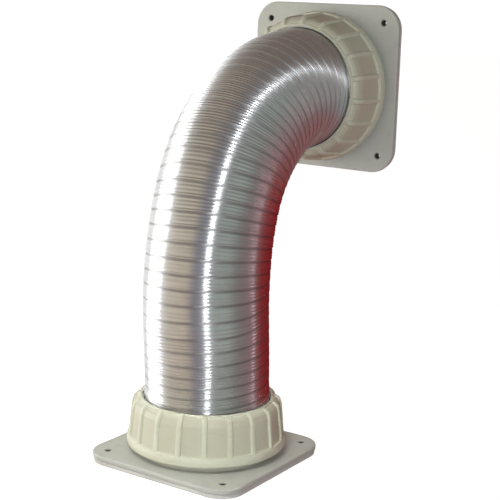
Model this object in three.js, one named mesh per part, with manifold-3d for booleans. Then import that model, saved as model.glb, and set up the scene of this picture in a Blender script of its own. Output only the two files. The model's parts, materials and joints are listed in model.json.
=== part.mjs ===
// Flexible flue elbow: a bend of spiral-wound aluminium duct between two square wall plates.
// At each end a ribbed ring nut on the plate's threaded collar clamps the duct.
// Millimetres, +Z up. The origin is the centre of the lower gasket's underside. The duct rises
// from the lower plate and bends towards +X, so the upper plate stands upright and faces -X.
import * as THREE from "three";
import { mergeVertices } from "three/addons/utils/BufferGeometryUtils.js";
import Module from "manifold-3d";

const wasm = await Module();
wasm.setup();

// The duct: its wall stands for the depth of the corrugated strip.
const DUCT_R = 60;
const DUCT_WALL = 1;

// The duct's middle line from gasket to gasket, as stretches of constant curvature.
// It leans back a little over the lower nut before it turns towards the upper plate.
const STRETCHES = [
  { length: 45, turn: 0 },
  { length: 95, turn: -5.6 },
  { length: 124, turn: 27.1 },
  { length: 167, turn: 68.5 },
  { length: 64, turn: 0 },
];

// The duct bends at joints that share its whole turn evenly, with a gap between the sections.
const BEND_JOINTS = 7;
const SECTION_GAP = 5;

// One end's fitting, measured from the gasket's outer face along the duct.
const FIT_GAP = 0.3;
const PLATE_SIDE = 170;
const PLATE_CORNER_R = 25;
const PLATE_THICK = 5;
const PLATE_BORE_R = 66;
const HOLE_SPACING = 135;
const HOLE_R = 2.4;
const SINK_R = 3.7;
const GASKET_THICK = 4.2;
const GASKET_INSET = 1;
const GASKET_BORE_R = 56;

const COLLAR_R = 65.5;
const COLLAR_BORE_R = 61.2;
const COLLAR_FLANGE_R = 77.5;
const COLLAR_FLANGE_THICK = 2;
const COLLAR_TOP = 50;
const COLLAR_CHAMFER = 4;
const LEDGE_R = 55.5;
const LEDGE_TOP = 9;

const THREAD_PITCH = 8;
const THREAD_TURNS = 1.25;
const THREAD_START = 27;
const THREAD_ROOT_WIDTH = 3.6;
const THREAD_CREST_WIDTH = 2.2;
const MALE_CREST_R = 67.2;
const FEMALE_CREST_R = 66.1;
const FEMALE_DROP = 3.2;
const THREAD_EMBED = 0.6;
const THREAD_STEPS_PER_TURN = 28;
const THREAD_START_ANGLE = 3.1;

const NUT_GAP = 7;
const NUT_HEIGHT = 46.5;
const NUT_RIM_R = 77;
const NUT_RIM_HEIGHT = 9;
const NUT_WALL_FOOT_R = 74;
const NUT_WALL_TOP_R = 71.2;
const NUT_BORE_R = 68;
const NUT_LIP_R = 62.2;
const NUT_LIP_THICK = 3;
const NUT_SHOULDER = 9.5;
const NUT_BEAD_R = 64.6;
const NUT_BEAD_PROUD = 1.6;
const RIB_COUNT = 19;
const RIB_WIDTH = 4;
const RIB_PROUD = 2;
const RIB_EMBED = 1.5;
const LOWER_RIB_TURN = 5.6;
const UPPER_RIB_TURN = 16.5;

const WASHER_BORE_R = 61;
const WASHER_R = 65;
const WASHER_THICK = 1.6;
const SEAL_BORE_R = 60.4;
const SEAL_R = 66.4;
const SEAL_HEIGHT = 10.2;
const SLEEVE_BORE_R = 55.6;
const SLEEVE_R = 58.2;
const SLEEVE_TOP = 58;

// Facets round each turned piece. The nut's are a multiple of its ribs.
const RING_FACETS = 36;
const NUT_FACETS = 38;
const HOLE_FACETS = 12;

const PLATE_BACK = GASKET_THICK + FIT_GAP;
const PLATE_FACE = PLATE_BACK + PLATE_THICK;
const NUT_FOOT = PLATE_FACE + NUT_GAP;
const NUT_TOP = NUT_FOOT + NUT_HEIGHT;
const DUCT_END = LEDGE_TOP + FIT_GAP;
const LIP_UNDER = NUT_TOP - NUT_LIP_THICK;
const WASHER_TOP = LIP_UNDER - FIT_GAP;
const SEAL_TOP = WASHER_TOP - WASHER_THICK - FIT_GAP;

const material = (color, roughness, metalness = 0) =>
  new THREE.MeshStandardMaterial({ color, roughness, metalness });
const PLATE_PLASTIC = material(0xd8d7cd, 0.55);
const NUT_PLASTIC = material(0xe6e4c9, 0.4);
const COLLAR_PLASTIC = material(0xcfcdbb, 0.5);
const GASKET_FOAM = material(0xe9e8e2, 0.9);
const SEAL_RUBBER = material(0x2b2b2c, 0.85);
const WASHER_PLASTIC = material(0xf0f0ea, 0.35);
const SLEEVE_PLASTIC = material(0xb9bab4, 0.5);
const DUCT_ALUMINIUM = material(0xc6c8ca, 0.25, 1);

// A closed geometry as a solid, with its faces turned outwards.
function solidOf(geometry) {
  const loose = geometry.index ? geometry.toNonIndexed() : geometry;
  const bare = new THREE.BufferGeometry();
  bare.setAttribute("position", loose.getAttribute("position"));
  const merged = mergeVertices(bare, 1e-4);
  const vertProperties = merged.getAttribute("position").array;
  const triVerts = new Uint32Array(merged.index.array);
  const made = new wasm.Manifold(new wasm.Mesh({ numProp: 3, vertProperties, triVerts }));
  if (made.volume() > 0) {
    return made;
  }
  triVerts.reverse();
  return new wasm.Manifold(new wasm.Mesh({ numProp: 3, vertProperties, triVerts }));
}

// A named mesh from a solid.
function meshOf(name, solid, look) {
  const { vertProperties, triVerts } = solid.getMesh();
  const geometry = new THREE.BufferGeometry();
  geometry.setAttribute("position", new THREE.BufferAttribute(vertProperties, 3));
  geometry.setIndex(new THREE.BufferAttribute(triVerts, 1));
  geometry.computeVertexNormals();
  const mesh = new THREE.Mesh(geometry, look);
  mesh.name = name;
  return mesh;
}

// A turned piece about Z from its closed [radius, height] outline.
function turned(outline, facets = RING_FACETS) {
  const points = [...outline, outline[0]].map(([r, z]) => new THREE.Vector2(r, z));
  return solidOf(new THREE.LatheGeometry(points, facets).rotateX(Math.PI / 2));
}

// A plain ring between two heights.
function ring(innerR, outerR, low, high, facets = RING_FACETS) {
  return turned([[innerR, low], [outerR, low], [outerR, high], [innerR, high]], facets);
}

// A round plug for a cut, standing on Z, with its own radius at each end.
function plug(lowR, highR, low, high, facets) {
  const cylinder = new THREE.CylinderGeometry(highR, lowR, high - low, facets);
  return solidOf(cylinder.rotateX(Math.PI / 2).translate(0, 0, (low + high) / 2));
}

// A square slab with rounded corners between two heights.
function roundedSlab(side, cornerR, low, high) {
  const half = side / 2;
  const inner = half - cornerR;
  const outline = new THREE.Shape();
  outline.absarc(inner, inner, cornerR, 0, Math.PI / 2);
  outline.absarc(-inner, inner, cornerR, Math.PI / 2, Math.PI);
  outline.absarc(-inner, -inner, cornerR, Math.PI, 1.5 * Math.PI);
  outline.absarc(inner, -inner, cornerR, 1.5 * Math.PI, 2 * Math.PI);
  const slab = new THREE.ExtrudeGeometry(outline, {
    depth: high - low,
    bevelEnabled: false,
    curveSegments: 4,
  });
  return solidOf(slab.translate(0, 0, low));
}

// The corners of a square, as [x, y].
function squareCorners(spacing) {
  const half = spacing / 2;
  return [[half, half], [-half, half], [-half, -half], [half, -half]];
}

// A right-hand helical ridge: a trapezoid from rootR to crestR, wound about Z.
function threadRidge(rootR, crestR, start) {
  const rootHalf = THREAD_ROOT_WIDTH / 2;
  const crestHalf = THREAD_CREST_WIDTH / 2;
  const section = new THREE.Shape([
    new THREE.Vector2(rootR, -rootHalf),
    new THREE.Vector2(crestR, -crestHalf),
    new THREE.Vector2(crestR, crestHalf),
    new THREE.Vector2(rootR, rootHalf),
  ]);
  const bar = new THREE.ExtrudeGeometry(section, {
    depth: 2 * Math.PI * THREAD_TURNS,
    steps: THREAD_STEPS_PER_TURN * THREAD_TURNS,
    bevelEnabled: false,
  });
  const position = bar.getAttribute("position");
  for (let i = 0; i < position.count; i += 1) {
    const r = position.getX(i);
    const angle = position.getZ(i);
    const height = start + position.getY(i) + (THREAD_PITCH * angle) / (2 * Math.PI);
    position.setXYZ(i, r * Math.cos(angle), r * Math.sin(angle), height);
  }
  return solidOf(bar).rotate([0, 0, THREAD_START_ANGLE]);
}

function wallPlate(name) {
  const corners = squareCorners(HOLE_SPACING);
  let body = roundedSlab(PLATE_SIDE, PLATE_CORNER_R, PLATE_BACK, PLATE_FACE);
  body = body.subtract(plug(PLATE_BORE_R, PLATE_BORE_R, 0, PLATE_FACE + 1, RING_FACETS));
  const recessR = COLLAR_FLANGE_R + FIT_GAP;
  const recessTop = PLATE_BACK + COLLAR_FLANGE_THICK + FIT_GAP;
  body = body.subtract(plug(recessR, recessR, 0, recessTop, RING_FACETS));
  for (const [x, y] of corners) {
    const hole = plug(HOLE_R, HOLE_R, 0, PLATE_FACE + 1, HOLE_FACETS);
    const sinkDepth = SINK_R - HOLE_R;
    const sink = plug(HOLE_R, SINK_R + 1, PLATE_FACE - sinkDepth, PLATE_FACE + 1, HOLE_FACETS);
    body = body.subtract(hole.add(sink).translate([x, y, 0]));
  }
  return meshOf(name, body, PLATE_PLASTIC);
}

function backingGasket(name) {
  const side = PLATE_SIDE - 2 * GASKET_INSET;
  let body = roundedSlab(side, PLATE_CORNER_R - GASKET_INSET, 0, GASKET_THICK);
  body = body.subtract(plug(GASKET_BORE_R, GASKET_BORE_R, -1, GASKET_THICK + 1, RING_FACETS));
  for (const [x, y] of squareCorners(HOLE_SPACING)) {
    const hole = plug(HOLE_R, HOLE_R, -1, GASKET_THICK + 1, HOLE_FACETS);
    body = body.subtract(hole.translate([x, y, 0]));
  }
  return meshOf(name, body, GASKET_FOAM);
}

function threadedCollar(name) {
  const flangeTop = PLATE_BACK + COLLAR_FLANGE_THICK;
  const wall = turned([
    [LEDGE_R, PLATE_BACK],
    [COLLAR_FLANGE_R, PLATE_BACK],
    [COLLAR_FLANGE_R, flangeTop],
    [COLLAR_R, flangeTop],
    [COLLAR_R, COLLAR_TOP],
    [COLLAR_R - 1, COLLAR_TOP],
    [COLLAR_BORE_R, COLLAR_TOP - COLLAR_CHAMFER],
    [COLLAR_BORE_R, LEDGE_TOP],
    [LEDGE_R, LEDGE_TOP],
  ]);
  const ridge = threadRidge(COLLAR_R - THREAD_EMBED, MALE_CREST_R, THREAD_START);
  return meshOf(name, wall.add(ridge), COLLAR_PLASTIC);
}

// One rib of the nut at +X. It stands along the wall, and over the shoulder up to the lip's bead.
function nutRib() {
  const foot = NUT_FOOT + NUT_RIM_HEIGHT - 2;
  const shoulderFoot = NUT_TOP - NUT_SHOULDER;
  const outline = new THREE.Shape([
    new THREE.Vector2(NUT_WALL_FOOT_R - RIB_EMBED, foot),
    new THREE.Vector2(NUT_WALL_FOOT_R + RIB_PROUD, foot),
    new THREE.Vector2(NUT_WALL_TOP_R + RIB_PROUD, shoulderFoot),
    new THREE.Vector2(NUT_WALL_TOP_R, NUT_TOP - 4),
    new THREE.Vector2(NUT_WALL_TOP_R - 3.8, NUT_TOP - 0.8),
    new THREE.Vector2(NUT_BEAD_R - 0.2, NUT_TOP - 0.4),
    new THREE.Vector2(NUT_BEAD_R + 0.6, NUT_TOP - 2.2),
    new THREE.Vector2(NUT_WALL_TOP_R - 1.3, shoulderFoot),
  ]);
  const rib = new THREE.ExtrudeGeometry(outline, { depth: RIB_WIDTH, bevelEnabled: false });
  return solidOf(rib.translate(0, 0, -RIB_WIDTH / 2).rotateX(Math.PI / 2));
}

function ringNut(name, ribTurn) {
  const rimTop = NUT_FOOT + NUT_RIM_HEIGHT;
  const shoulderFoot = NUT_TOP - NUT_SHOULDER;
  let body = turned(
    [
      [NUT_RIM_R - 3.5, NUT_FOOT],
      [NUT_RIM_R - 0.6, NUT_FOOT],
      [NUT_RIM_R, NUT_FOOT + 1],
      [NUT_RIM_R, NUT_FOOT + 5],
      [NUT_RIM_R - 1, rimTop - 0.6],
      [NUT_WALL_FOOT_R, rimTop],
      [NUT_WALL_TOP_R, shoulderFoot],
      [NUT_WALL_TOP_R - 1.6, NUT_TOP - 4.8],
      [NUT_WALL_TOP_R - 4.6, NUT_TOP - 2.4],
      [NUT_BEAD_R + 0.6, NUT_TOP - NUT_BEAD_PROUD],
      [NUT_BEAD_R, NUT_TOP - 0.3],
      [NUT_BEAD_R - 0.4, NUT_TOP],
      [NUT_LIP_R, NUT_TOP],
      [NUT_LIP_R, LIP_UNDER],
      [NUT_LIP_R + 3.2, LIP_UNDER],
      [NUT_BORE_R, LIP_UNDER - 4],
      [NUT_BORE_R, NUT_FOOT + 4],
    ],
    NUT_FACETS,
  );
  const rib = nutRib();
  const ribStep = 360 / RIB_COUNT;
  for (let i = 0; i < RIB_COUNT; i += 1) {
    body = body.add(rib.rotate([0, 0, i * ribStep]));
  }
  body = body.rotate([0, 0, ribTurn]);
  const rootR = NUT_BORE_R + THREAD_EMBED;
  body = body.add(threadRidge(rootR, FEMALE_CREST_R, THREAD_START - FEMALE_DROP));
  return meshOf(name, body, NUT_PLASTIC);
}

function slipWasher(name) {
  const body = ring(WASHER_BORE_R, WASHER_R, WASHER_TOP - WASHER_THICK, WASHER_TOP);
  return meshOf(name, body, WASHER_PLASTIC);
}

// The rubber ring tapers into the collar's chamfered mouth.
function sealingRing(name) {
  const mouth = COLLAR_TOP + FIT_GAP;
  const body = turned([
    [SEAL_BORE_R, SEAL_TOP - SEAL_HEIGHT],
    [SEAL_BORE_R + 1.5, SEAL_TOP - SEAL_HEIGHT],
    [COLLAR_R - 1.3, mouth],
    [SEAL_R, mouth + 0.3],
    [SEAL_R, SEAL_TOP - 2],
    [SEAL_R - 1.5, SEAL_TOP],
    [SEAL_BORE_R, SEAL_TOP],
  ]);
  return meshOf(name, body, SEAL_RUBBER);
}

function supportSleeve(name) {
  const body = ring(SLEEVE_BORE_R, SLEEVE_R, DUCT_END, SLEEVE_TOP);
  return meshOf(name, body, SLEEVE_PLASTIC);
}

// Everything that holds one end of the duct, on its own Z axis.
function endFitting(side, ribTurn) {
  const fitting = new THREE.Group();
  fitting.add(
    wallPlate(`${side}_wall_plate`),
    backingGasket(`${side}_backing_gasket`),
    threadedCollar(`${side}_threaded_collar`),
    ringNut(`${side}_ring_nut`, ribTurn),
    slipWasher(`${side}_slip_washer`),
    sealingRing(`${side}_sealing_ring`),
    supportSleeve(`${side}_support_sleeve`),
  );
  return fitting;
}

// The point of the duct's middle line at a distance along it, and its lean from +Z in radians.
function middleLine(distance) {
  let x = 0;
  let z = 0;
  let lean = 0;
  let left = distance;
  for (const { length, turn } of STRETCHES) {
    const run = Math.min(left, length);
    const bend = (THREE.MathUtils.degToRad(turn) * run) / length;
    const chord = bend ? (run * Math.sin(bend / 2)) / (bend / 2) : run;
    x += chord * Math.sin(lean + bend / 2);
    z += chord * Math.cos(lean + bend / 2);
    lean += bend;
    left -= run;
    if (left <= 0) {
      break;
    }
  }
  return { x, z, lean };
}

// The distance along the middle line at which its lean first passes an angle in degrees.
function distanceAtLean(angle) {
  let distance = 0;
  let lean = 0;
  for (const { length, turn } of STRETCHES) {
    if (turn > 0 && angle <= lean + turn) {
      return distance + (length * (angle - lean)) / turn;
    }
    distance += length;
    lean += turn;
  }
  return distance;
}

class DuctStretch extends THREE.Curve {
  constructor(from, to) {
    super();
    this.from = from;
    this.to = to;
  }
  getPoint(t, target = new THREE.Vector3()) {
    const { x, z } = middleLine(this.from + t * (this.to - this.from));
    return target.set(x, 0, z);
  }
}

function ductSection(name, from, to, steps) {
  const section = new THREE.Shape();
  section.absarc(0, 0, DUCT_R, 0, 2 * Math.PI);
  const hollow = new THREE.Path();
  hollow.absarc(0, 0, DUCT_R - DUCT_WALL, 0, 2 * Math.PI);
  section.holes.push(hollow);
  const tube = new THREE.ExtrudeGeometry(section, {
    steps,
    curveSegments: RING_FACETS / 2,
    extrudePath: new DuctStretch(from, to),
  });
  return meshOf(name, solidOf(tube), DUCT_ALUMINIUM);
}

const ductLength = STRETCHES.reduce((sum, { length }) => sum + length, 0);
const leanBack = Math.min(...STRETCHES.map(({ turn }) => turn));
const wholeTurn = 90 - leanBack;
const joints = Array.from({ length: BEND_JOINTS }, (_, i) =>
  distanceAtLean(leanBack + (wholeTurn * (i + 0.5)) / BEND_JOINTS),
);

const elbow = new THREE.Group();
elbow.name = "flue_elbow";

elbow.add(endFitting("lower", LOWER_RIB_TURN));

const sectionEnds = [DUCT_END, ...joints, ductLength - DUCT_END];
for (let i = 0; i <= BEND_JOINTS; i += 1) {
  const from = sectionEnds[i] + (i === 0 ? 0 : SECTION_GAP / 2);
  const to = sectionEnds[i + 1] - (i === BEND_JOINTS ? 0 : SECTION_GAP / 2);
  const steps = i === 0 || i === BEND_JOINTS ? 3 : 2;
  elbow.add(ductSection(`duct_section_${i + 1}`, from, to, steps));
}

const upperEnd = middleLine(ductLength);
const upper = endFitting("upper", UPPER_RIB_TURN);
upper.rotation.y = -Math.PI / 2;
upper.position.set(upperEnd.x, 0, upperEnd.z);
elbow.add(upper);

export default elbow;
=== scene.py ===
import json
import math

import bpy
import numpy as np
from mathutils import Matrix, Vector
from mathutils.geometry import delaunay_2d_cdt


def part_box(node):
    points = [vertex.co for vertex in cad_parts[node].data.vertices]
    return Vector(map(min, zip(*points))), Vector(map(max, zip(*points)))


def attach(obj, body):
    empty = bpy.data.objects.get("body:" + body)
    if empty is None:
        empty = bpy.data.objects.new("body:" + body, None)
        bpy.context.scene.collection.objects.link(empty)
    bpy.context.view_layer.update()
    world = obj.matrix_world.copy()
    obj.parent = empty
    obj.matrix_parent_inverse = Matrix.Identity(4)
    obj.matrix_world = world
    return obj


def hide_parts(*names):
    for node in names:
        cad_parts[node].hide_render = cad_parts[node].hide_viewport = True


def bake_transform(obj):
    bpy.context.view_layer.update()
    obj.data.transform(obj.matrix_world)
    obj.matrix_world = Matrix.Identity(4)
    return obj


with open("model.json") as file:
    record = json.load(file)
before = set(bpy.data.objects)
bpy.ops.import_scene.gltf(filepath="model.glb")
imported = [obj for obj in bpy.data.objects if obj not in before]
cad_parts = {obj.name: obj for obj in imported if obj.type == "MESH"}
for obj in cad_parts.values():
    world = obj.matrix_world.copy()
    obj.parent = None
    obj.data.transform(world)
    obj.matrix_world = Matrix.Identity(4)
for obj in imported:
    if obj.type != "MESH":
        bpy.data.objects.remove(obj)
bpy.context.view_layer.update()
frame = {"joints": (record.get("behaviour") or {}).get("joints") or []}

MM = 0.001

# ---------------------------------------------------------------- camera
# Where the photographer stood: degrees round the object and above it, and metres away.
CAMERA_AZIMUTH = -56.6
CAMERA_ELEVATION = 11.93
CAMERA_DISTANCE = 1.2329
CAMERA_ROLL = 1.8
CAMERA_TARGET = Vector((0.0612, -0.0041, 0.196))
CAMERA_LENS = 90.2


def direction(azimuth, elevation):
    """The unit vector from the object towards a place given in degrees."""
    a = math.radians(azimuth)
    e = math.radians(elevation)
    return Vector((math.sin(a) * math.cos(e), -math.cos(a) * math.cos(e), math.sin(e)))


def aim(obj, place, target, roll=0.0):
    """Puts an object at a place, with its -Z looking at the target."""
    back = (place - target).normalized()
    right = Vector((0, 0, 1)).cross(back).normalized()
    up = back.cross(right)
    turn = math.radians(roll)
    rolled_right = right * math.cos(turn) + up * math.sin(turn)
    rolled_up = back.cross(rolled_right)
    axes = Matrix((rolled_right, rolled_up, back)).transposed()
    obj.matrix_world = Matrix.Translation(place) @ axes.to_4x4()


def make_camera():
    data = bpy.data.cameras.new("camera")
    data.lens = CAMERA_LENS
    data.sensor_width = 36
    camera = bpy.data.objects.new("camera", data)
    bpy.context.scene.collection.objects.link(camera)
    place = CAMERA_TARGET + direction(CAMERA_AZIMUTH, CAMERA_ELEVATION) * CAMERA_DISTANCE
    aim(camera, place, CAMERA_TARGET, CAMERA_ROLL)
    bpy.context.scene.camera = camera


make_camera()

# ---------------------------------------------------------------- sizes from the frame
GASKET_LOW, GASKET_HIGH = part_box("lower_backing_gasket")
PLATE_LOW, PLATE_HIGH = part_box("lower_wall_plate")
NUT_LOW, NUT_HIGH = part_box("lower_ring_nut")
_, COLLAR_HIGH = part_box("lower_threaded_collar")
WASHER_LOW, WASHER_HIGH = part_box("lower_slip_washer")
SEAL_LOW, SEAL_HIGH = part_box("lower_sealing_ring")
SLEEVE_LOW, SLEEVE_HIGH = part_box("lower_support_sleeve")
UPPER_LOW, UPPER_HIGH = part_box("upper_backing_gasket")

PLATE_HALF = PLATE_HIGH.x
PLATE_BACK = PLATE_LOW.z
PLATE_FACE = PLATE_HIGH.z
GASKET_HALF = GASKET_HIGH.x
NUT_FOOT = NUT_LOW.z
NUT_TOP = NUT_HIGH.z
DUCT_END = SLEEVE_LOW.z

# Sizes inside those boxes. Most are the CAD model's, and the rest refine its shapes.
PLATE_CORNER_R = 25 * MM
PLATE_BORE_R = 66 * MM
GASKET_BORE_R = 56 * MM
HOLE_SPACING = 135 * MM
HOLE_R = 2.4 * MM
SINK_R = 3.7 * MM
THREAD_PITCH = 8 * MM
THREAD_TURNS = 1.25
THREAD_START = 27 * MM
THREAD_START_ANGLE = math.radians(3.1)
THREAD_DEPTH = 1.7 * MM
THREAD_HALF_WIDTH = 1.75 * MM
THREAD_FLANK = 0.75 * MM
THREAD_RUN_OUT = 0.03
COLLAR_R = 65.5 * MM
COLLAR_BORE_R = 61.2 * MM
LEDGE_R = 55.5 * MM
LEDGE_TOP = 9 * MM
NUT_RIM_R = 77 * MM
NUT_WALL_FOOT_R = 74 * MM
NUT_WALL_TOP_R = 71.2 * MM
NUT_RIM_HEIGHT = 9 * MM
NUT_SHOULDER = 9.5 * MM
NUT_BEAD_R = 64.6 * MM
NUT_BEAD_PROUD = 1.6 * MM
NUT_BORE_R = 68 * MM
NUT_LIP_R = 62.2 * MM
NUT_THREAD_DEPTH = 1.9 * MM
NUT_THREAD_DROP = 3.2 * MM
RIB_COUNT = 19
RIB_PROUD = 2 * MM
LOWER_RIB_TURN = math.radians(5.6)
UPPER_RIB_TURN = math.radians(16.5)
WASHER_BORE_R = 61 * MM
SEAL_BORE_R = 60.4 * MM
SEAL_NECK_R = 61.9 * MM
SEAL_SHOULDER_R = 64.2 * MM
SEAL_TOP_R = 64.9 * MM
SLEEVE_BORE_R = 55.6 * MM
SLEEVE_R = 58.2 * MM
DUCT_R = 60 * MM

# The duct's middle line: each stretch's length, and how far it turns towards the upper plate.
STRETCHES = [
    (45 * MM, 0.0),
    (95 * MM, math.radians(-5.6)),
    (124 * MM, math.radians(27.1)),
    (167 * MM, math.radians(68.5)),
    (64 * MM, 0.0),
]
DUCT_LENGTH = sum(length for length, _ in STRETCHES)

# The upper fitting is the lower one turned to face -X.
UPPER_FOOT = Vector((UPPER_HIGH.x, 0, (UPPER_LOW.z + UPPER_HIGH.z) / 2))
UPPER_PLACE = Matrix.Translation(UPPER_FOOT) @ Matrix.Rotation(-math.pi / 2, 4, "Y")
PLACES = {"lower": Matrix.Identity(4), "upper": UPPER_PLACE}


# ---------------------------------------------------------------- mesh helpers
RING_COLUMNS = 180


def smoothstep(t):
    t = np.clip(t, 0, 1)
    return t * t * (3 - 2 * t)


def new_object(name, vertices, faces, place=None, sharp_degrees=38):
    """A smooth-shaded mesh object, with edges sharper than an angle kept crisp."""
    mesh = bpy.data.meshes.new(name)
    mesh.from_pydata([tuple(v) for v in vertices], [], faces)
    if place is not None:
        mesh.transform(place)
    mesh.update()
    mesh.shade_smooth()
    mesh.set_sharp_from_angle(angle=math.radians(sharp_degrees))
    obj = bpy.data.objects.new(name, mesh)
    bpy.context.scene.collection.objects.link(obj)
    return obj


def add_values(obj, name, values):
    """Stores a number at each vertex, for the materials to read."""
    attribute = obj.data.attributes.new(name, "FLOAT", "POINT")
    attribute.data.foreach_set("value", values)


def closed_grid_faces(rows, columns, close_rows=True):
    """Quads of a grid that closes along its columns, and along its rows when close_rows is true."""
    i = np.arange(rows if close_rows else rows - 1)
    j = np.arange(columns)
    a = i[:, None] * columns + j[None, :]
    b = i[:, None] * columns + (j[None, :] + 1) % columns
    c = ((i[:, None] + 1) % rows) * columns + (j[None, :] + 1) % columns
    d = ((i[:, None] + 1) % rows) * columns + j[None, :]
    return np.stack([a, b, c, d], axis=-1).reshape(-1, 4).tolist()


def rounded_outline(corners, radii, steps=4, support=0.5 * MM, longest=None):
    """A closed outline with its corners rounded. A point beside each round keeps the flats flat."""
    points = []
    count = len(corners)
    for k in range(count):
        before = np.array(corners[k - 1])
        here = np.array(corners[k])
        after = np.array(corners[(k + 1) % count])
        back = (before - here) / np.linalg.norm(before - here)
        ahead = (after - here) / np.linalg.norm(after - here)
        half = math.acos(np.clip(back @ ahead, -1, 1)) / 2
        room = 0.45 * min(np.linalg.norm(before - here), np.linalg.norm(after - here))
        trim = min(radii[k] / math.tan(half), room) if half < 1.55 else 0
        if trim < 1e-6:
            points.append(here)
            continue
        radius = trim * math.tan(half)
        centre = here + (back + ahead) / np.linalg.norm(back + ahead) * radius / math.sin(half)
        start = here + back * trim - centre
        sweep = math.pi - 2 * half
        sign = 1 if back[0] * ahead[1] - back[1] * ahead[0] < 0 else -1
        extra = min(support, room - trim)
        if extra > 1e-5:
            points.append(here + back * (trim + extra))
        for s in range(steps + 1):
            angle = sign * sweep * s / steps
            turned = (
                start[0] * math.cos(angle) - start[1] * math.sin(angle),
                start[0] * math.sin(angle) + start[1] * math.cos(angle),
            )
            points.append(centre + np.array(turned))
        if extra > 1e-5:
            points.append(here + ahead * (trim + extra))
    if longest:
        points = subdivided(points, longest)
    return np.array(points)


def subdivided(points, longest):
    """The closed outline with extra points, so that no step is longer than a length."""
    out = []
    for k, here in enumerate(points):
        after = points[(k + 1) % len(points)]
        pieces = max(1, math.ceil(np.linalg.norm(after - here) / longest))
        for s in range(pieces):
            out.append(here + (after - here) * s / pieces)
    return out


def outline_normals(outline):
    """The way out of the material at each point of a closed outline."""
    ahead = np.roll(outline, -1, axis=0) - outline
    behind = outline - np.roll(outline, 1, axis=0)
    along = ahead / np.linalg.norm(ahead, axis=1)[:, None]
    along = along + behind / np.linalg.norm(behind, axis=1)[:, None]
    along = along / np.maximum(np.linalg.norm(along, axis=1), 1e-9)[:, None]
    return np.stack([along[:, 1], -along[:, 0]], axis=-1)


def turned_object(name, outline, place, relief=None, angles=None, panels=None):
    """A turned piece about Z from its closed outline of (radius, height), anticlockwise.
    relief(radius, height, angle, out) gives the shift in radius and height of each point, and
    panels(radius, height, angle) how much of a sunk panel it is."""
    if angles is None:
        angles = np.linspace(0, 2 * math.pi, RING_COLUMNS, endpoint=False)
    r = np.repeat(outline[:, 0][:, None], len(angles), axis=1)
    z = np.repeat(outline[:, 1][:, None], len(angles), axis=1)
    a = np.repeat(angles[None, :], len(outline), axis=0)
    sunk = panels(r, z, a) if panels is not None else None
    if relief is not None:
        more_r, more_z = relief(r, z, a, outline_normals(outline)[:, None, :])
        r = r + more_r
        z = z + more_z
    vertices = np.stack([r * np.cos(a), r * np.sin(a), z], axis=-1).reshape(-1, 3)
    faces = [face[::-1] for face in closed_grid_faces(len(outline), len(angles))]
    obj = new_object(name, vertices, faces, place)
    if sunk is not None:
        add_values(obj, "panel", sunk.reshape(-1))
    return obj


# ---------------------------------------------------------------- fittings
def thread_height(angle, drop):
    """How high the thread's ridge passes at an angle on its first turn, and that angle from the
    thread's start. drop lowers the whole thread."""
    turned = (angle - THREAD_START_ANGLE) % (2 * math.pi)
    return THREAD_START - drop + THREAD_PITCH * turned / (2 * math.pi), turned


def thread_relief(height, angle, drop):
    """How far the helical ridge stands out of the wall at each point, from 0 to 1."""
    first, turned = thread_height(angle, drop)
    relief = np.zeros_like(height)
    for turn in (0, 1):
        along = turned / (2 * math.pi) + turn
        ends = smoothstep(along / THREAD_RUN_OUT)
        ends = ends * smoothstep((THREAD_TURNS - along) / THREAD_RUN_OUT)
        off = np.abs(height - first - turn * THREAD_PITCH)
        ridge = smoothstep((THREAD_HALF_WIDTH - off) / THREAD_FLANK)
        relief = np.maximum(relief, ends * ridge)
    return relief


def make_collar(side):
    outline = rounded_outline(
        [
            (LEDGE_R, PLATE_BACK),
            (COLLAR_HIGH.x, PLATE_BACK),
            (COLLAR_HIGH.x, PLATE_BACK + 2 * MM),
            (COLLAR_R, PLATE_BACK + 2 * MM),
            (COLLAR_R, COLLAR_HIGH.z),
            (COLLAR_R - 1 * MM, COLLAR_HIGH.z),
            (COLLAR_BORE_R, COLLAR_HIGH.z - 4 * MM),
            (COLLAR_BORE_R, LEDGE_TOP),
            (LEDGE_R, LEDGE_TOP),
        ],
        [v * MM for v in (0.3, 0.3, 0.3, 0.8, 0.3, 0.3, 0.3, 0.5, 0.4)],
        longest=0.6 * MM,
    )

    def relief(r, z, a, out):
        outer = (np.abs(r - COLLAR_R) < 0.2 * MM) & (z > 20 * MM)
        ridge = np.where(outer, THREAD_DEPTH * thread_relief(z, a, 0), 0)
        return ridge, np.zeros_like(ridge)

    return turned_object(f"{side}_collar", outline, PLACES[side], relief)


def make_washer(side):
    low, high = WASHER_LOW.z, WASHER_HIGH.z
    outline = rounded_outline(
        [(WASHER_BORE_R, low), (WASHER_HIGH.x, low), (WASHER_HIGH.x, high), (WASHER_BORE_R, high)],
        [0.3 * MM] * 4,
    )
    return turned_object(f"{side}_washer", outline, PLACES[side])


def make_seal(side):
    low, high = SEAL_LOW.z, SEAL_HIGH.z
    mouth = COLLAR_HIGH.z + 0.3 * MM
    outline = rounded_outline(
        [
            (SEAL_BORE_R, low),
            (SEAL_NECK_R, low),
            (SEAL_SHOULDER_R, mouth),
            (SEAL_HIGH.x, mouth + 0.3 * MM),
            (SEAL_HIGH.x, high - 2 * MM),
            (SEAL_TOP_R, high),
            (SEAL_BORE_R, high),
        ],
        [v * MM for v in (0.4, 0.5, 0.6, 0.6, 0.8, 0.5, 0.5)],
    )
    return turned_object(f"{side}_seal", outline, PLACES[side])


def make_sleeve(side):
    low, high = SLEEVE_LOW.z, SLEEVE_HIGH.z
    outline = rounded_outline(
        [(SLEEVE_BORE_R, low), (SLEEVE_R, low), (SLEEVE_R, high), (SLEEVE_BORE_R, high)],
        [v * MM for v in (0.5, 0.5, 0.9, 0.9)],
        longest=6 * MM,
    )
    return turned_object(f"{side}_sleeve", outline, PLACES[side])


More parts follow.
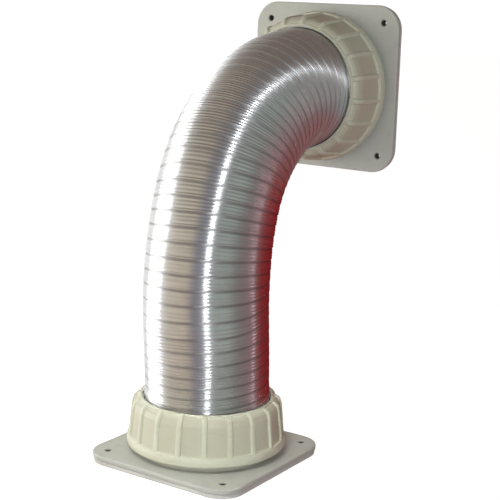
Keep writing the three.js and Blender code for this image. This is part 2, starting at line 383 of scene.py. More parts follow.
def rib_height(across):
    """A rib's section: how far it stands out at a distance from its middle."""
    flank = smoothstep((3.1 * MM - across) / (1.4 * MM))
    crown = np.maximum(1 - (across / (1.6 * MM)) ** 2, 0)
    return 0.88 * RIB_PROUD * flank + 0.12 * RIB_PROUD * crown


def from_nearest_rib(r, a, turn):
    """How far each point lies from the middle of the nearest rib, round the nut."""
    step = 2 * math.pi / RIB_COUNT
    return np.abs((a - turn + step / 2) % step - step / 2) * r


def rib_angles(turn):
    """Angles round the nut: close together over each rib, wider between the ribs."""
    step = 2 * math.pi / RIB_COUNT
    across = np.array([0.5, 0.95, 1.3, 1.65, 1.95, 2.25, 2.55, 2.8, 3.2]) * MM / NUT_WALL_FOOT_R
    panel = np.linspace(across[-1], step / 2, 6)[1:]
    half = np.concatenate([across, panel])
    one = np.concatenate([-half[::-1][1:], [0.0], half])
    return np.concatenate([one + k * step + turn for k in range(RIB_COUNT)])


def make_nut(side):
    turn = LOWER_RIB_TURN if side == "lower" else UPPER_RIB_TURN
    rim_top = NUT_FOOT + NUT_RIM_HEIGHT
    shoulder = NUT_TOP - NUT_SHOULDER
    outline = rounded_outline(
        [
            (NUT_RIM_R - 3.5 * MM, NUT_FOOT),
            (NUT_RIM_R - 0.5 * MM, NUT_FOOT),
            (NUT_RIM_R, NUT_FOOT + 1 * MM),
            (NUT_RIM_R, NUT_FOOT + 5 * MM),
            (NUT_RIM_R - 0.8 * MM, rim_top - 0.3 * MM),
            (NUT_WALL_FOOT_R, rim_top + 0.2 * MM),
            (NUT_WALL_TOP_R, shoulder),
            (NUT_WALL_TOP_R - 1.6 * MM, NUT_TOP - 4.8 * MM),
            (NUT_WALL_TOP_R - 4.6 * MM, NUT_TOP - 2.4 * MM),
            (NUT_BEAD_R + 0.6 * MM, NUT_TOP - NUT_BEAD_PROUD),
            (NUT_BEAD_R, NUT_TOP),
            (NUT_LIP_R, NUT_TOP),
            (NUT_LIP_R, NUT_TOP - 3 * MM),
            (NUT_LIP_R + 3.2 * MM, NUT_TOP - 3 * MM),
            (NUT_BORE_R, NUT_TOP - 7 * MM),
            (NUT_BORE_R, NUT_FOOT + 4 * MM),
        ],
        [v * MM for v in (0.5, 0.5, 0.5, 3, 1, 1.1, 5, 3, 3, 0.6, 0.8, 0.5, 0.4, 0.4, 1, 1)],
        longest=1.4 * MM,
    )

    def relief(r, z, a, out):
        rib = rib_height(from_nearest_rib(r, a, turn))
        up = (z - rim_top) / (shoulder - rim_top)
        wall = NUT_WALL_FOOT_R + (NUT_WALL_TOP_R - NUT_WALL_FOOT_R) * up
        outside = (r > NUT_BORE_R + 0.6 * MM) & (z > rim_top - 0.5 * MM) & (z <= shoulder)
        on_wall = np.where(outside, np.maximum(wall + rib - r, 0) * (rib > 0), 0)
        over = (z > shoulder) & (out[..., 1] > -0.2) & (out[..., 0] > -0.2)
        dying = smoothstep((r - NUT_BEAD_R + 0.6 * MM) / (2 * MM))
        on_shoulder = np.where(over, rib * dying, 0)
        inner = (np.abs(r - NUT_BORE_R) < 0.3 * MM) & (z > 20.5 * MM) & (z < 40 * MM)
        female = np.where(inner, -NUT_THREAD_DEPTH * thread_relief(z, a, NUT_THREAD_DROP), 0)
        more_r = on_wall + on_shoulder * out[..., 0] + female
        more_z = np.minimum(on_shoulder * out[..., 1], NUT_TOP - 0.3 * MM - z)
        return more_r, np.where(over, np.maximum(more_z, 0), 0)

    def panels(r, z, a):
        between = smoothstep((from_nearest_rib(r, a, turn) - 2 * MM) / (1 * MM))
        tall = smoothstep((z - rim_top) / (1 * MM)) * smoothstep((NUT_TOP - 2 * MM - z) / (2 * MM))
        return between * tall * (r > NUT_BEAD_R)

    return turned_object(f"{side}_nut", outline, PLACES[side], relief, rib_angles(turn), panels)


def square_corners(half):
    """The corners of a square about the middle, anticlockwise."""
    return [(half, half), (-half, half), (-half, -half), (half, -half)]


def rounded_square(half, corner, steps):
    """Points and outward normals round a square with rounded corners."""
    points = []
    normals = []
    side_pieces = 12
    centres = square_corners(half - corner)
    for k, (cx, cy) in enumerate(centres):
        for s in range(steps + 1):
            angle = (k + s / steps) * math.pi / 2
            normals.append((math.cos(angle), math.sin(angle)))
            points.append((cx + corner * math.cos(angle), cy + corner * math.sin(angle)))
        nx, ny = normals[-1]
        end = np.array(points[-1])
        start = np.array(centres[(k + 1) % 4]) + corner * np.array((nx, ny))
        for s in range(1, side_pieces):
            points.append(tuple(end + (start - end) * s / side_pieces))
            normals.append((nx, ny))
    return np.array(points), np.array(normals)


def circle(x, y, radius, steps):
    """Points round a hole, with normals out of the material: towards the hole's middle."""
    angle = np.linspace(0, 2 * math.pi, steps, endpoint=False)
    ring = np.stack([np.cos(angle), np.sin(angle)], axis=-1)
    return np.array((x, y)) + radius * ring[::-1], -ring[::-1]


def flat_faces(vertices, loops):
    """Upward triangles across a level face, between its outer loop and its holes."""
    flat = []
    index = []
    edges = []
    for loop in loops:
        first = len(flat)
        flat.extend(Vector(vertices[i][:2]) for i in loop)
        index.extend(loop)
        edges.extend((first + k, first + (k + 1) % len(loop)) for k in range(len(loop)))
    _, _, triangles, origin, _, _ = delaunay_2d_cdt(flat, edges, [], 0, 1e-7)
    faces = []
    for triangle in triangles:
        corners = [index[origin[i][0]] for i in triangle]
        middle = sum((Vector(vertices[i][:2]) for i in corners), Vector((0, 0))) / 3
        if not outside_material(middle, vertices, loops):
            faces.append(corners)
    return faces


def slab_object(name, contours, place):
    """A flat slab between contours. Each is (points, outward normals, edge), and an edge is a
    list of (inset, height) from the slab's top to its underside."""
    vertices = []
    faces = []
    tops = []
    bottoms = []
    for points, normals, edge in contours:
        n = len(points)
        base = len(vertices)
        for inset, height in edge:
            ring = points - normals * inset
            vertices.extend((x, y, height) for x, y in ring)
        for level in range(len(edge) - 1):
            for k in range(n):
                a = base + level * n + k
                b = base + level * n + (k + 1) % n
                faces.append((a, a + n, b + n, b))
        tops.append(list(range(base, base + n)))
        bottoms.append(list(range(base + (len(edge) - 1) * n, base + len(edge) * n)))
    faces.extend(flat_faces(vertices, tops))
    faces.extend(face[::-1] for face in flat_faces(vertices, bottoms))
    slab = new_object(name, vertices, faces, place, sharp_degrees=30)
    # How far down a screw hole each point lies; the materials paint shade there by it.
    add_values(slab, "hollow", [hollow_at(x, y) for x, y, _ in vertices])
    return slab


def hollow_at(x, y):
    """How far down in a screw hole a point lies, from 0 at the sink's edge to 1 at its wall."""
    away = min(math.hypot(x - hx, y - hy) for hx, hy in hole_places())
    return min(max((SINK_R - away) / (SINK_R - HOLE_R), 0), 1)


def outside_material(point, vertices, loops):
    """Whether a triangle's middle lies outside the outer loop or inside a hole."""
    inside_count = 0
    for loop in loops:
        inside = False
        n = len(loop)
        for k in range(n):
            x0, y0 = vertices[loop[k]][:2]
            x1, y1 = vertices[loop[(k + 1) % n]][:2]
            if (y0 > point.y) != (y1 > point.y):
                if point.x < (x1 - x0) * (point.y - y0) / (y1 - y0) + x0:
                    inside = not inside
        inside_count += inside
    return inside_count != 1


def rounded_edge(low, high, radius, steps=4, support=0.5 * MM):
    """The section of a slab's edge with both arrises rounded, from the top to the underside."""
    edge = [(radius + support, high)]
    for s in range(steps + 1):
        angle = math.pi / 2 * s / steps
        edge.append((radius - radius * math.sin(angle), high - radius + radius * math.cos(angle)))
    for s in range(steps + 1):
        angle = math.pi / 2 * s / steps
        edge.append((radius - radius * math.cos(angle), low + radius - radius * math.sin(angle)))
    edge.append((radius + support, low))
    return edge


def screw_hole_edge(low, high):
    """A countersunk screw hole's section, from the plate's face down."""
    sink = SINK_R - HOLE_R
    return [
        (sink + 0.6 * MM, high),
        (sink + 0.1 * MM, high),
        (sink - 0.1 * MM, high - 0.15 * MM),
        (0.1 * MM, high - sink),
        (0, high - sink - 0.3 * MM),
        (0, low + 0.3 * MM),
        (0.3 * MM, low),
        (0.8 * MM, low),
    ]


def hole_places():
    return square_corners(HOLE_SPACING / 2)


def make_plate(side):
    """The wall plate, with its countersunk holes and a recess behind its bore for the collar."""
    low, high = PLATE_BACK, PLATE_FACE
    points, normals = rounded_square(PLATE_HALF, PLATE_CORNER_R, 14)
    edge = rounded_edge(low, high, 1.1 * MM)
    contours = [(points, normals, edge)]
    bore_points, bore_normals = circle(0, 0, PLATE_BORE_R, 120)
    recess = COLLAR_HIGH.x + 0.3 * MM - PLATE_BORE_R
    recess_top = low + 2.3 * MM
    bore_edge = [
        (1.1 * MM, high),
        (0.6 * MM, high),
        (0.2 * MM, high - 0.2 * MM),
        (0, high - 0.6 * MM),
        (0, recess_top),
        (recess, recess_top),
        (recess, low),
        (recess + 0.5 * MM, low),
    ]
    contours.append((bore_points, bore_normals, bore_edge))
    for x, y in hole_places():
        hole_points, hole_normals = circle(x, y, HOLE_R, 28)
        contours.append((hole_points, hole_normals, screw_hole_edge(low, high)))
    return slab_object(f"{side}_plate", contours, PLACES[side])


def make_gasket(side):
    low, high = GASKET_LOW.z, GASKET_HIGH.z
    points, normals = rounded_square(GASKET_HALF, PLATE_CORNER_R - 1 * MM, 14)
    contours = [(points, normals, rounded_edge(low, high, 0.7 * MM))]
    bore_points, bore_normals = circle(0, 0, GASKET_BORE_R, 120)
    contours.append((bore_points, bore_normals, rounded_edge(low, high, 0.7 * MM)))
    for x, y in hole_places():
        hole_points, hole_normals = circle(x, y, HOLE_R, 28)
        contours.append((hole_points, hole_normals, rounded_edge(low, high, 0.4 * MM, 2, 0.3 * MM)))
    return slab_object(f"{side}_gasket", contours, PLACES[side])


# ---------------------------------------------------------------- duct
# The strip's turns lie open over the lower leg and closer together where the duct was pushed up.
PITCHES = [
    (50 * MM, 10.4 * MM),
    (100 * MM, 10.8 * MM),
    (124 * MM, 14.2 * MM),
    (150 * MM, 13.8 * MM),
    (178 * MM, 11.7 * MM),
    (262 * MM, 11.8 * MM),
    (326 * MM, 7.9 * MM),
    (360 * MM, 8.8 * MM),
    (440 * MM, 9.6 * MM),
]
FIRST_TURN = 0.1
STRIP_RIBS = 4
SAMPLES_PER_RIB = 9
DUCT_COLUMNS = 160
SKIN = 0.35 * MM

# The strip's relief: fine ribs that deepen as the turns are pushed together, a crown across each
# turn, a bead beside the seam and the seam's groove.
RIB_DEPTH = 0.31 * MM
RIB_DEPTH_OPEN = 0.06 * MM
CROWN = 0.38 * MM
BEAD = 0.35 * MM
BEAD_WIDTH = 1.0 * MM
BEAD_FROM_SEAM = 1.9 * MM
GROOVE_WIDTH = 1.1 * MM
GROOVE_DEPTH = 0.12 * MM

# At each end the seal holds the strip flat up to here, and the wall flares out past the washer.
CLAMP_END = 62.5 * MM
FLARE = 0.75 * MM
FLARE_START = 53.5 * MM


def middle_line(distance):
    """Points on the duct's middle line and their lean from +Z, for an array of distances."""
    distance = np.asarray(distance, float)
    x = np.zeros_like(distance)
    z = np.zeros_like(distance)
    lean = np.zeros_like(distance)
    left = distance.copy()
    for length, turn in STRETCHES:
        run = np.clip(left, 0, length)
        bend = turn * run / length
        half = bend / 2
        chord = run * np.where(np.abs(half) < 1e-9, 1, np.sin(half) / np.where(half == 0, 1, half))
        x += chord * np.sin(lean + half)
        z += chord * np.cos(lean + half)
        lean += bend
        left = left - run
    return x, z, lean


def curvature(distance):
    """The middle line's turn per metre, smoothed over a few centimetres."""
    out = np.zeros_like(distance)
    start = 0.0
    soft = 12 * MM
    for length, turn in STRETCHES:
        rise = smoothstep((distance - start + soft) / (2 * soft))
        fall = smoothstep((distance - start - length + soft) / (2 * soft))
        out += (rise - fall) * turn / length
        start += length
    return out


def seam_pitch(distance):
    """The distance between two turns of the seam along the middle line."""
    pitch = np.full_like(distance, PITCHES[0][1])
    for (start, before), (end, after) in zip(PITCHES, PITCHES[1:]):
        pitch = pitch + (after - before) * smoothstep((distance - start) / (end - start))
    uneven = 0.5 * np.sin(distance / (8.3 * MM) + 1.3) + 0.4 * np.sin(distance / (14.1 * MM))
    return pitch + uneven * 0.5 * MM


PHASE_STEP = 0.25 * MM
PHASE_DISTANCE = np.arange(0, DUCT_LENGTH + PHASE_STEP, PHASE_STEP)
PHASE_TURNS = FIRST_TURN + np.cumsum(PHASE_STEP / seam_pitch(PHASE_DISTANCE))


def duct_rows():
    """Distances along the middle line for the mesh's rows, several to each fine rib."""
    low, high = np.interp([DUCT_END, DUCT_LENGTH - DUCT_END], PHASE_DISTANCE, PHASE_TURNS)
    count = int((high - low) * STRIP_RIBS * SAMPLES_PER_RIB)
    turns = np.linspace(low, high, count)
    return np.interp(turns, PHASE_TURNS, PHASE_DISTANCE)


def strip_relief(distance, angle):
    """The wound strip's relief at each point, in metres, and how deep it lies in a seam, 0 to 1."""
    turns = np.interp(distance, PHASE_DISTANCE, PHASE_TURNS)
    wander = 0.02 * np.sin(3 * angle + distance / (19 * MM)) + 0.015 * np.sin(5 * angle - turns)
    phase = turns - angle / (2 * math.pi) + wander
    within = phase - np.floor(phase)
    local = seam_pitch(distance) * (1 - curvature(distance) * DUCT_R * np.cos(angle))
    width = local / STRIP_RIBS
    free = smoothstep((distance - CLAMP_END) / (2 * MM))
    free = free * smoothstep((DUCT_LENGTH - CLAMP_END - distance) / (2 * MM))
    depth = RIB_DEPTH * smoothstep((4.6 * MM - width) / (3.2 * MM)) + RIB_DEPTH_OPEN
    depth = depth * (0.3 + 0.7 * free)
    near_seam = np.minimum(within, 1 - within) * local
    ribs = -depth * np.cos(2 * math.pi * STRIP_RIBS * within) * smoothstep(near_seam / (1.5 * MM))
    crown = CROWN * (1 - (2 * within - 1) ** 2) * free
    bead = BEAD * np.exp(-(((within * local - BEAD_FROM_SEAM) / BEAD_WIDTH) ** 2)) * free
    groove = np.exp(-((near_seam / GROOVE_WIDTH) ** 2))
    relief = ribs + crown + bead - groove * GROOVE_DEPTH * (1 + free)
    return relief, groove


def duct_surface(distance, angle, sink):
    """Points of the duct's skin. angle 0 is the inside of the bend."""
    relief, groove = strip_relief(distance, angle)
    radius = DUCT_R - FLARE + relief - sink
    from_top = DUCT_LENGTH - distance
    for from_end, flare_end, fall in ((distance, 78 * MM, 15 * MM), (from_top, 76 * MM, 13 * MM)):
        flare = smoothstep((flare_end - from_end) / fall)
        radius = radius + FLARE * flare * smoothstep((from_end - FLARE_START) / (4 * MM))
    free = smoothstep((distance - 66 * MM) / (25 * MM))
    free = free * smoothstep((from_top - 66 * MM) / (25 * MM))
    lumps = 0.28 * np.sin(2 * angle + distance / (37 * MM))
    lumps = lumps + 0.2 * np.sin(3 * angle - distance / (23 * MM))
    radius = radius + lumps * MM * free
    x, z, lean = middle_line(distance)
    across = radius * np.cos(angle)
    px = x + across * np.cos(lean)
    pz = z - across * np.sin(lean)
    py = radius * np.sin(angle)
    return np.stack([px, py, pz], axis=-1), groove


def make_duct_piece(name, rows):
    """One piece of the duct's wall: its outer skin and a coarser inner one, joined at both ends."""
    angle = np.linspace(0, 2 * math.pi, DUCT_COLUMNS, endpoint=False)
    back = np.concatenate([rows[-1:], rows[-2:0:-3], rows[:1]])
    s, a = np.meshgrid(np.concatenate([rows, back]), angle, indexing="ij")
    sink = np.zeros_like(s)
    sink[len(rows) :] = SKIN
    points, groove = duct_surface(s, a, sink)
    points = points.reshape(-1, 3)
    faces = closed_grid_faces(len(s), DUCT_COLUMNS)
    obj = new_object(name, points, faces, sharp_degrees=75)
    add_values(obj, "seam", groove.reshape(-1))
    add_strip_uv(obj.data, s.reshape(-1), a.reshape(-1) * DUCT_R)
    return obj


def add_strip_uv(mesh, along, around):
    """UVs in metres: round the duct, and along it. The last column's faces end past the first."""
    corners = np.zeros(len(mesh.loops), np.int32)
    mesh.loops.foreach_get("vertex_index", corners)
    u = around[corners]
    v = along[corners]
    whole = 2 * math.pi * DUCT_R
    per_face = u.reshape(-1, 4)
    wraps = per_face.max(axis=1) - per_face.min(axis=1) > whole / 2
    per_face[wraps] = np.where(per_face[wraps] < whole / 2, per_face[wraps] + whole, per_face[wraps])
    layer = mesh.uv_layers.new(name="strip")
    layer.data.foreach_set("uv", np.stack([per_face.reshape(-1), v], axis=-1).reshape(-1))


# ---------------------------------------------------------------- materials
# Painted shade: the dark colour laid down the walls of the screw holes.
HOLE_PAINTED_SHADE = (0.06, 0.055, 0.05)


class Look:
    """A node material with its shader and short calls for the nodes that feed it."""

    def __init__(self, name, colour, roughness, metallic=0.0):
        self.material = bpy.data.materials.new(name)
        self.material.use_nodes = True
        self.nodes = self.material.node_tree.nodes
        self.links = self.material.node_tree.links
        self.shader = self.nodes["Principled BSDF"]
        self.shader.inputs["Base Color"].default_value = (*colour, 1)
        self.shader.inputs["Roughness"].default_value = roughness
        self.shader.inputs["Metallic"].default_value = metallic

    def node(self, kind, **settings):
        made = self.nodes.new(kind)
        for key, value in settings.items():
            setattr(made, key, value)
        return made

    def link(self, output, target):
        self.links.new(output, target)

    def coordinates(self, kind="Object", scale=(1, 1, 1)):
        source = self.node("ShaderNodeTexCoord")
        mapping = self.node("ShaderNodeMapping")
        mapping.inputs["Scale"].default_value = scale
        self.link(source.outputs[kind], mapping.inputs["Vector"])
        return mapping.outputs["Vector"]

    def noise(self, vector, scale, detail=3.0, roughness=0.55, distortion=0.0):
        made = self.node("ShaderNodeTexNoise")
        made.inputs["Scale"].default_value = scale
        made.inputs["Detail"].default_value = detail
        made.inputs["Roughness"].default_value = roughness
        made.inputs["Distortion"].default_value = distortion
        self.link(vector, made.inputs["Vector"])
        return made.outputs["Fac"]

    def span(self, value, low, high, to_low, to_high):
        made = self.node("ShaderNodeMapRange")
        made.inputs["From Min"].default_value = low
        made.inputs["From Max"].default_value = high
        made.inputs["To Min"].default_value = to_low
        made.inputs["To Max"].default_value = to_high
        self.link(value, made.inputs["Value"])
        return made.outputs["Result"]

    def mix(self, factor, a, b):
        made = self.node("ShaderNodeMix", data_type="RGBA")
        self.feed(factor, made.inputs["Factor"])
        self.feed(a, made.inputs[6])
        self.feed(b, made.inputs[7])
        return made.outputs[2]

    def math(self, operation, a, b):
        made = self.node("ShaderNodeMath", operation=operation)
        self.feed(a, made.inputs[0])
        self.feed(b, made.inputs[1])
        return made.outputs[0]

    def feed(self, value, socket):
        if isinstance(value, bpy.types.NodeSocket):
            self.link(value, socket)
        elif isinstance(value, tuple):
            socket.default_value = (*value, 1)
        else:
            socket.default_value = value

    def hollow(self):
        """How far down in a screw hole a point lies."""
        return self.node("ShaderNodeAttribute", attribute_name="hollow").outputs["Fac"]

    def bump(self, height, distance, strength=1.0):
        made = self.node("ShaderNodeBump")
        made.inputs["Strength"].default_value = strength
        made.inputs["Distance"].default_value = distance
        self.link(height, made.inputs["Height"])
        self.link(made.outputs["Normal"], self.shader.inputs["Normal"])

    def colour(self, output):
        self.link(output, self.shader.inputs["Base Color"])

    def roughness(self, output):
        self.link(output, self.shader.inputs["Roughness"])


def moulded_plastic(name, clean, tinted, rough_low, rough_high, dirt_and_panel_shade, grain=0.00004):
    """Moulded plastic: cloudy tint, faint flow lines, fine grain, handling marks and dust, with
    painted shade in the sunk panels and down the screw holes.
    """
    look = Look(name, clean, rough_low)
    place = look.coordinates()
    clouds = look.noise(place, 14, 4, 0.6)
    tint = look.mix(look.span(clouds, 0.35, 0.68, 0, 1), clean, tinted)
    marks = look.noise(look.coordinates(scale=(1, 1, 3)), 55, 6, 0.7, 0.6)
    tint = look.mix(look.span(marks, 0.56, 0.74, 0, 0.5), tint, dirt_and_panel_shade)
    specks = look.noise(place, 900, 2, 0.5)
    tint = look.mix(look.span(specks, 0.66, 0.78, 0, 0.35), tint, dirt_and_panel_shade)
    # Painted shade: the sunk panels between the nut's ribs are darkened towards the same colour as
    # the marks and dust.
    panel = look.node("ShaderNodeAttribute", attribute_name="panel").outputs["Fac"]
    tint = look.mix(look.math("MULTIPLY", panel, 0.5), tint, dirt_and_panel_shade)
    # Painted shade down the screw holes.
    look.colour(look.mix(look.hollow(), tint, HOLE_PAINTED_SHADE))
    wear = look.noise(place, 90, 5, 0.65)
    look.roughness(look.span(wear, 0.3, 0.7, rough_low, rough_high))
    look.bump(look.noise(place, 1300, 3, 0.6), grain)
    return look.material


def foam(name):
    look = Look(name, (0.79, 0.79, 0.75), 0.85)
    place = look.coordinates()
    cells = look.node("ShaderNodeTexVoronoi")
    cells.inputs["Scale"].default_value = 1400
    look.link(place, cells.inputs["Vector"])
    pores = look.span(cells.outputs["Distance"], 0.1, 0.8, 0, 1)
    shade = look.mix(pores, (0.66, 0.66, 0.62), (0.82, 0.82, 0.78))
    stain = look.noise(place, 30, 4, 0.6)
    stained = look.mix(look.span(stain, 0.5, 0.75, 0, 0.5), shade, (0.55, 0.53, 0.47))
    # Painted shade down the screw holes.
    look.colour(look.mix(look.hollow(), stained, HOLE_PAINTED_SHADE))
    look.roughness(look.span(stain, 0.3, 0.7, 0.78, 0.95))
    look.bump(cells.outputs["Distance"], 0.00012)
    return look.material


def rubber(name):
    look = Look(name, (0.03, 0.03, 0.032), 0.75)
    place = look.coordinates()
    bloom = look.noise(place, 60, 5, 0.65)
    dusty = look.span(bloom, 0.4, 0.7, 0, 0.6)
    look.colour(look.mix(dusty, (0.022, 0.022, 0.024), (0.09, 0.088, 0.085)))
    look.roughness(look.span(bloom, 0.3, 0.7, 0.62, 0.88))
    look.bump(look.noise(place, 1700, 2, 0.5), 0.00004)
    return look.material


def rolled_aluminium(name):
    """Bright rolled strip: fine lines along it, dull patches, and painted shade in the seams, which
    are rougher too. The lines and ribs run round the duct, so they draw its reflections out along
    its length."""
    look = Look(name, (0.9, 0.905, 0.91), 0.3, 1.0)
    tangent = look.node("ShaderNodeTangent", direction_type="UV_MAP", uv_map="strip")
    look.link(tangent.outputs["Tangent"], look.shader.inputs["Tangent"])
    look.shader.inputs["Anisotropic"].default_value = 1.0
    look.shader.inputs["Anisotropic Rotation"].default_value = 0.25
    lines = look.noise(look.coordinates("UV", (9, 2600, 1)), 1, 3, 0.6)
    coarse = look.noise(look.coordinates("UV", (5, 520, 1)), 1, 3, 0.65)
    smears = look.noise(look.coordinates("UV", (26, 42, 1)), 1, 5, 0.62, 0.4)
    seam = look.node("ShaderNodeAttribute", attribute_name="seam").outputs["Fac"]
    bright = look.mix(look.span(smears, 0.35, 0.7, 0, 1), (0.92, 0.925, 0.93), (0.84, 0.845, 0.84))
    lined = look.mix(look.span(lines, 0.3, 0.75, 0, 0.5), bright, (0.78, 0.785, 0.79))
    banded = look.mix(look.span(coarse, 0.42, 0.66, 0, 0.5), lined, (0.64, 0.64, 0.64))
    # Painted shade: the seams' grooves are darkened.
    look.colour(look.mix(look.math("MULTIPLY", seam, 0.22), banded, (0.4, 0.395, 0.39)))
    patches = look.span(smears, 0.3, 0.75, 0.27, 0.36)
    streaked = look.math("ADD", patches, look.span(lines, 0.3, 0.7, -0.02, 0.05))
    look.roughness(look.math("ADD", streaked, look.math("MULTIPLY", seam, 0.35)))
    look.bump(lines, 0.00003, 0.7)
    return look.material


def plain_floor():
    look = Look("pale_floor", (0.56, 0.6, 0.62), 0.7)
    look.shader.inputs["Emission Color"].default_value = (1, 1, 1, 1)
    look.shader.inputs["Emission Strength"].default_value = 0.86
    place = look.coordinates()
    look.bump(look.noise(place, 400, 2, 0.5), 0.00005)
    return look.material


PLATE_LOOK = moulded_plastic(
    "plate_plastic", (0.64, 0.65, 0.60), (0.59, 0.60, 0.54), 0.42, 0.6, (0.46, 0.44, 0.38)
)
NUT_LOOK = moulded_plastic(
    "nut_plastic", (0.73, 0.73, 0.59), (0.69, 0.68, 0.53), 0.3, 0.46, (0.53, 0.49, 0.37)
)
COLLAR_LOOK = moulded_plastic(
    "collar_plastic", (0.68, 0.67, 0.58), (0.62, 0.60, 0.50), 0.4, 0.58, (0.42, 0.38, 0.3)
)
WASHER_LOOK = moulded_plastic(
    "washer_plastic", (0.82, 0.82, 0.79), (0.78, 0.78, 0.74), 0.25, 0.4, (0.6, 0.6, 0.56)
)
SLEEVE_LOOK = moulded_plastic(
    "sleeve_plastic", (0.42, 0.42, 0.40), (0.38, 0.38, 0.36), 0.4, 0.6, (0.25, 0.24, 0.22)
)
FOAM_LOOK = foam("gasket_foam")
RUBBER_LOOK = rubber("seal_rubber")
DUCT_LOOK = rolled_aluminium("duct_aluminium")


# ---------------------------------------------------------------- the object
def place_piece(piece, look, node, body):
    piece.data.materials.append(look)
    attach(piece, body)
    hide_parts(node)


for side in ("lower", "upper"):
    end = f"{side}_end"
    place_piece(make_plate(side), PLATE_LOOK, f"{side}_wall_plate", end)
    place_piece(make_gasket(side), FOAM_LOOK, f"{side}_backing_gasket", end)
    place_piece(make_collar(side), COLLAR_LOOK, f"{side}_threaded_collar", end)
    place_piece(make_seal(side), RUBBER_LOOK, f"{side}_sealing_ring", end)
    place_piece(make_sleeve(side), SLEEVE_LOOK, f"{side}_support_sleeve", end)
    moving = f"{side}_washer"
    place_piece(make_washer(side), WASHER_LOOK, f"{side}_slip_washer", moving)
    place_piece(make_nut(side), NUT_LOOK, f"{side}_ring_nut", f"{side}_nut")


def distance_of(point):
    """How far along the middle line the nearest point to a place is."""
    s = np.linspace(0, DUCT_LENGTH, 4000)
    x, z, _ = middle_line(s)
    return s[np.argmin(np.hypot(x - point[0], z - point[2]))]


def bend_zone(station, ends):
    """The two ends of a piece's bending, on the line through the middle at its joint. Both of
    the piece's end rings lie outside them, so that neighbouring pieces keep meeting."""
    x, z, lean = middle_line(np.array([station]))
    middle = np.array((x[0], 0, z[0]))
    along = np.array((math.sin(lean[0]), 0, math.cos(lean[0])))
    angle = np.linspace(0, 2 * math.pi, DUCT_COLUMNS, endpoint=False)
    reach = []
    for distance in ends:
        ring, _ = duct_surface(np.full_like(angle, distance), angle, 0)
        reach.append(np.abs((ring - middle) @ along).min())
    half = 0.98 * min(reach)
    return tuple(map(float, middle - along * half)), tuple(map(float, middle + along * half))


def make_duct():
    """The duct in pieces, each running across one joint, between the middles of two bodies."""
    bends = [j for j in frame["joints"] if j["name"].startswith("duct_bend")]
    stations = [distance_of(j["pos_m"]) for j in bends]
    rows = duct_rows()
    cuts = [DUCT_END]
    cuts += [(a + b) / 2 for a, b in zip(stations, stations[1:])]
    cuts.append(DUCT_LENGTH - DUCT_END)
    clear = 0.05 * MM
    for k, joint in enumerate(bends):
        own = rows[(rows > cuts[k] + clear) & (rows < cuts[k + 1] - clear)]
        own = np.concatenate([[cuts[k]], own, [cuts[k + 1]]])
        piece = make_duct_piece(f"duct_skin_{k + 1}", own)
        piece.data.materials.append(DUCT_LOOK)
        start, end = bend_zone(stations[k], (cuts[k], cuts[k + 1]))
        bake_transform(piece)
        nodes = [f"duct_section_{k + 1}"]
        if k == len(bends) - 1:
            nodes.append(f"duct_section_{k + 2}")
        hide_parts(*nodes)


make_duct()


# ---------------------------------------------------------------- studio
def stage_piece(name, vertices, faces):
    """A piece of the pale studio, kept out of reflections and bounced light."""
    piece = new_object(name, vertices, faces)
    piece.data.materials.append(plain_floor())
    piece.visible_glossy = False
    piece.visible_diffuse = False
    return piece


def make_floor():
    corners = [(x, y, 0) for x, y in square_corners(9.0)]
    stage_piece("floor", corners, [(0, 1, 2, 3)])


def make_backdrop():
    """A pale dome behind everything. The room's light passes through it."""
    radius = 8.0
    levels = np.radians(np.linspace(-2, 89, 14))
    turns = np.radians(np.arange(0, 360, 7.5))
    height, a = np.meshgrid(levels, turns, indexing="ij")
    level = np.cos(height)
    vertices = np.stack([level * np.cos(a), level * np.sin(a), np.sin(height)], axis=-1) * radius
    faces = closed_grid_faces(len(levels), len(turns), close_rows=False)
    dome = stage_piece("backdrop", vertices.reshape(-1, 3), faces)
    dome.visible_shadow = False
    dome.visible_transmission = False


MIDDLE = (0.06, 0, 0.2)
FOOT = (0, 0, 0.02)


def area_light(name, azimuth, elevation, distance, size, watts, colour=(1, 1, 1), target=MIDDLE):
    """A rectangular lamp placed round a target, in degrees and metres, and aimed at it."""
    data = bpy.data.lights.new(name, "AREA")
    data.shape = "RECTANGLE"
    data.size, data.size_y = size
    data.energy = watts
    data.color = colour
    lamp = bpy.data.objects.new(name, data)
    bpy.context.scene.collection.objects.link(lamp)
    centre = Vector(target)
    aim(lamp, centre + direction(azimuth, elevation) * distance, centre)
    return lamp


# The room that the metal mirrors: degrees round from the camera, towards the right, and colour.
ROOM = [
    (-180, (0.95, 0.95, 0.94)),
    (-90, (0.95, 0.95, 0.93)),
    (-72, (0.72, 0.66, 0.55)),
    (-36, (0.64, 0.58, 0.46)),
    (-20, (0.25, 0.27, 0.32)),
    (2, (0.32, 0.37, 0.42)),
    (14, (0.38, 0.46, 0.43)),
    (38, (0.36, 0.43, 0.40)),
    (60, (0.21, 0.22, 0.21)),
    (80, (0.25, 0.18, 0.185)),
    (96, (0.28, 0.16, 0.165)),
    (116, (0.23, 0.02, 0.022)),
    (178, (0.2, 0.01, 0.014)),
]
CEILING = (0.165, 0.13, 0.115)
GROUND = (0.30, 0.15, 0.15)


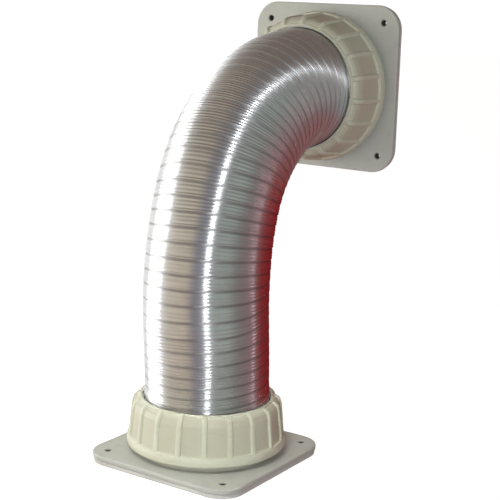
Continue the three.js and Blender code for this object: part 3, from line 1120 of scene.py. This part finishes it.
def make_world():
    world = bpy.data.worlds.new("studio")
    world.use_nodes = True
    nodes = world.node_tree.nodes
    links = world.node_tree.links
    place = nodes.new("ShaderNodeTexCoord")
    turn = nodes.new("ShaderNodeMapping")
    turn.vector_type = "POINT"
    turn.inputs["Rotation"].default_value = (0, 0, math.radians(90 - CAMERA_AZIMUTH))
    around = nodes.new("ShaderNodeTexGradient")
    around.gradient_type = "RADIAL"
    ramp = nodes.new("ShaderNodeValToRGB")
    links.new(place.outputs["Generated"], turn.inputs["Vector"])
    links.new(turn.outputs["Vector"], around.inputs["Vector"])
    links.new(around.outputs["Fac"], ramp.inputs["Fac"])
    stops = ramp.color_ramp.elements
    for k, (degrees, colour) in enumerate(ROOM):
        share = (degrees + 180) / 360
        stop = stops[k] if k < 2 else stops.new(share)
        stop.position = share
        stop.color = (*colour, 1)
    split = nodes.new("ShaderNodeSeparateXYZ")
    links.new(place.outputs["Generated"], split.inputs["Vector"])
    colour = ramp.outputs["Color"]
    for beyond, low, high in ((CEILING, 0.3, 0.75), (GROUND, -0.42, -0.85)):
        share = nodes.new("ShaderNodeMapRange")
        share.interpolation_type = "SMOOTHSTEP"
        share.inputs["From Min"].default_value = low
        share.inputs["From Max"].default_value = high
        links.new(split.outputs["Z"], share.inputs["Value"])
        mix = nodes.new("ShaderNodeMix")
        mix.data_type = "RGBA"
        mix.inputs[7].default_value = (*beyond, 1)
        links.new(share.outputs["Result"], mix.inputs["Factor"])
        links.new(colour, mix.inputs[6])
        colour = mix.outputs[2]
    links.new(colour, nodes["Background"].inputs["Color"])
    nodes["Background"].inputs["Strength"].default_value = 1.0
    bpy.context.scene.world = world


make_floor()
make_backdrop()
make_world()
area_light("window", CAMERA_AZIMUTH - 103, 4, 1.3, (0.9, 0.9), 7)
area_light("flash", CAMERA_AZIMUTH, 13, 1.3, (0.02, 0.02), 3.3, (0.93, 0.96, 1))
area_light("side", CAMERA_AZIMUTH + 90, 10, 1.6, (0.12, 1.2), 0.45, (1, 0.88, 0.92))
base = area_light("base", CAMERA_AZIMUTH - 14, 52, 0.9, (0.25, 0.25), 0.18, (0.96, 1, 0.94), FOOT)
base.data.spread = math.radians(35)
base.visible_glossy = False

bpy.context.scene.view_settings.view_transform = "Standard"
